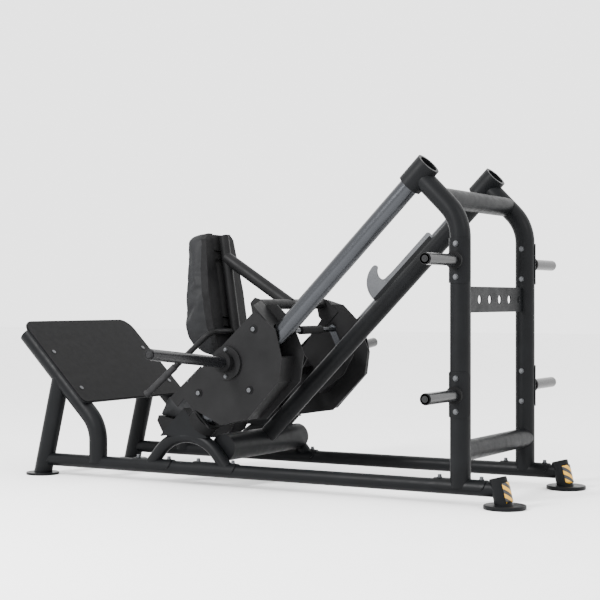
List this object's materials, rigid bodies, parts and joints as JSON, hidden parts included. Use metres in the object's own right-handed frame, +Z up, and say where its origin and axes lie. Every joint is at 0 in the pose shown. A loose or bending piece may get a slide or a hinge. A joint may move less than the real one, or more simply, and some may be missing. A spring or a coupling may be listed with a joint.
{
  "type": "leg press machine",
  "caption": "Plate-loaded inclined leg press: a seat sled on rollers slides up two round guide rails towards the rear posts, with a fixed angled footplate and a catch hook.",
  "frame": {"origin": "on the floor under the middle of the machine's overall box", "axes": "+X from the footplate to the rear posts, +Y across to the far side, +Z up"},
  "size_m": [2.68, 2.088, 1.4915],
  "materials": {
    "frame_paint": "satin charcoal powder coat",
    "sled_paint": "satin charcoal powder coat",
    "polished_steel": "polished",
    "plated_steel": "zinc plated",
    "black_rubber": "matte",
    "black_plastic": "matte",
    "roller_nylon": "matte",
    "upholstery": "matte vinyl cover"
  },
  "bodies": {
    "frame": {"arch_far": "frame_paint", "arch_near": "frame_paint", "base_rails": "frame_paint", "bumpers": "black_rubber", "centre_strut": "frame_paint", "centre_tube": "frame_paint", "curved_leg_far": "frame_paint", "curved_leg_near": "frame_paint", "footplate": "frame_paint", "footplate_mat": "black_rubber", "footplate_screws": "plated_steel", "frame_bolts": "plated_steel", "front_feet": "frame_paint", "guide_rails": "polished_steel", "leaning_legs": "frame_paint", "lower_crossbar": "frame_paint", "rail_brackets": "frame_paint", "rail_sockets": "frame_paint", "rear_feet": "frame_paint", "rear_post_far": "frame_paint", "rear_post_near": "frame_paint", "rear_stubs": "frame_paint", "saddles": "frame_paint", "safety_hook": "plated_steel", "storage_pegs_far": "polished_steel", "storage_pegs_near": "polished_steel", "strut_keel": "frame_paint", "stub_caps": "black_plastic", "tie_plate": "frame_paint", "upper_crossbar": "frame_paint"},
    "sled": {"outer_carriage_far": "sled_paint", "outer_carriage_near": "sled_paint", "inner_carriages": "sled_paint", "plate_horn_far": "polished_steel", "plate_horn_near": "polished_steel", "roller_axles": "plated_steel", "axle_spacers": "plated_steel", "horn_collars": "black_rubber", "sled_bolts": "plated_steel", "sled_cross_tube": "sled_paint", "sled_brackets": "sled_paint", "sled_beams": "sled_paint", "seat_arms": "sled_paint", "back_tube": "sled_paint", "back_brace": "sled_paint", "back_shell": "black_plastic", "back_cushion": "upholstery", "seat_tray": "sled_paint", "seat_pad": "upholstery", "handle_bar": "sled_paint", "yoke_fittings": "sled_paint"},
    "catch": {"catch_yoke": "polished_steel", "catch_sleeve": "black_rubber"},
    "roller_low_far_wheel": {"roller_low_far": "roller_nylon"},
    "roller_low_near_wheel": {"roller_low_near": "roller_nylon"},
    "roller_top_far_wheel": {"roller_top_far": "roller_nylon"},
    "roller_top_near_wheel": {"roller_top_near": "roller_nylon"},
    "roller_under_far_wheel": {"roller_under_far": "roller_nylon"},
    "roller_under_near_wheel": {"roller_under_near": "roller_nylon"}
  },
  "joints": [
    {"name": "sled_slide", "type": "slide", "parent": "frame", "child": "sled", "axis": [0.7071, 0, 0.7071], "range_m": [0, 0.7]},
    {"name": "catch_swing", "type": "hinge", "parent": "sled", "child": "catch", "pos_m": [0.16824, 0, 0.59986], "axis": [0, 1, 0], "range_deg": [0, 53], "stiffness_Nm_per_rad": 8, "springref_deg": -20.05},
    {"name": "roller_low_far_spin", "type": "hinge", "parent": "sled", "child": "roller_low_far_wheel", "pos_m": [-0.23764, 0.373, 0.43864], "axis": [0, 1, 0], "range_deg": [0, 845]},
    {"name": "roller_low_near_spin", "type": "hinge", "parent": "sled", "child": "roller_low_near_wheel", "pos_m": [-0.23764, -0.373, 0.43864], "axis": [0, 1, 0], "range_deg": [0, 845]},
    {"name": "roller_top_far_spin", "type": "hinge", "parent": "sled", "child": "roller_top_far_wheel", "pos_m": [0.06076, 0.373, 0.73704], "axis": [0, 1, 0], "range_deg": [0, 845]},
    {"name": "roller_top_near_spin", "type": "hinge", "parent": "sled", "child": "roller_top_near_wheel", "pos_m": [0.06076, -0.373, 0.73704], "axis": [0, 1, 0], "range_deg": [0, 845]},
    {"name": "roller_under_far_spin", "type": "hinge", "parent": "sled", "child": "roller_under_far_wheel", "pos_m": [0.03884, 0.373, 0.46056], "axis": [0, 1, 0], "range_deg": [-845, 0]},
    {"name": "roller_under_near_spin", "type": "hinge", "parent": "sled", "child": "roller_under_near_wheel", "pos_m": [0.03884, -0.373, 0.46056], "axis": [0, 1, 0], "range_deg": [-845, 0]}
  ],
  "couplings": [
    {"joint": "roller_low_far_spin", "follows": "sled_slide", "rad_per_m": 21.05},
    {"joint": "roller_low_near_spin", "follows": "sled_slide", "rad_per_m": 21.05},
    {"joint": "roller_top_far_spin", "follows": "sled_slide", "rad_per_m": 21.05},
    {"joint": "roller_top_near_spin", "follows": "sled_slide", "rad_per_m": 21.05},
    {"joint": "roller_under_far_spin", "follows": "sled_slide", "rad_per_m": -21.05},
    {"joint": "roller_under_near_spin", "follows": "sled_slide", "rad_per_m": -21.05}
  ]
}
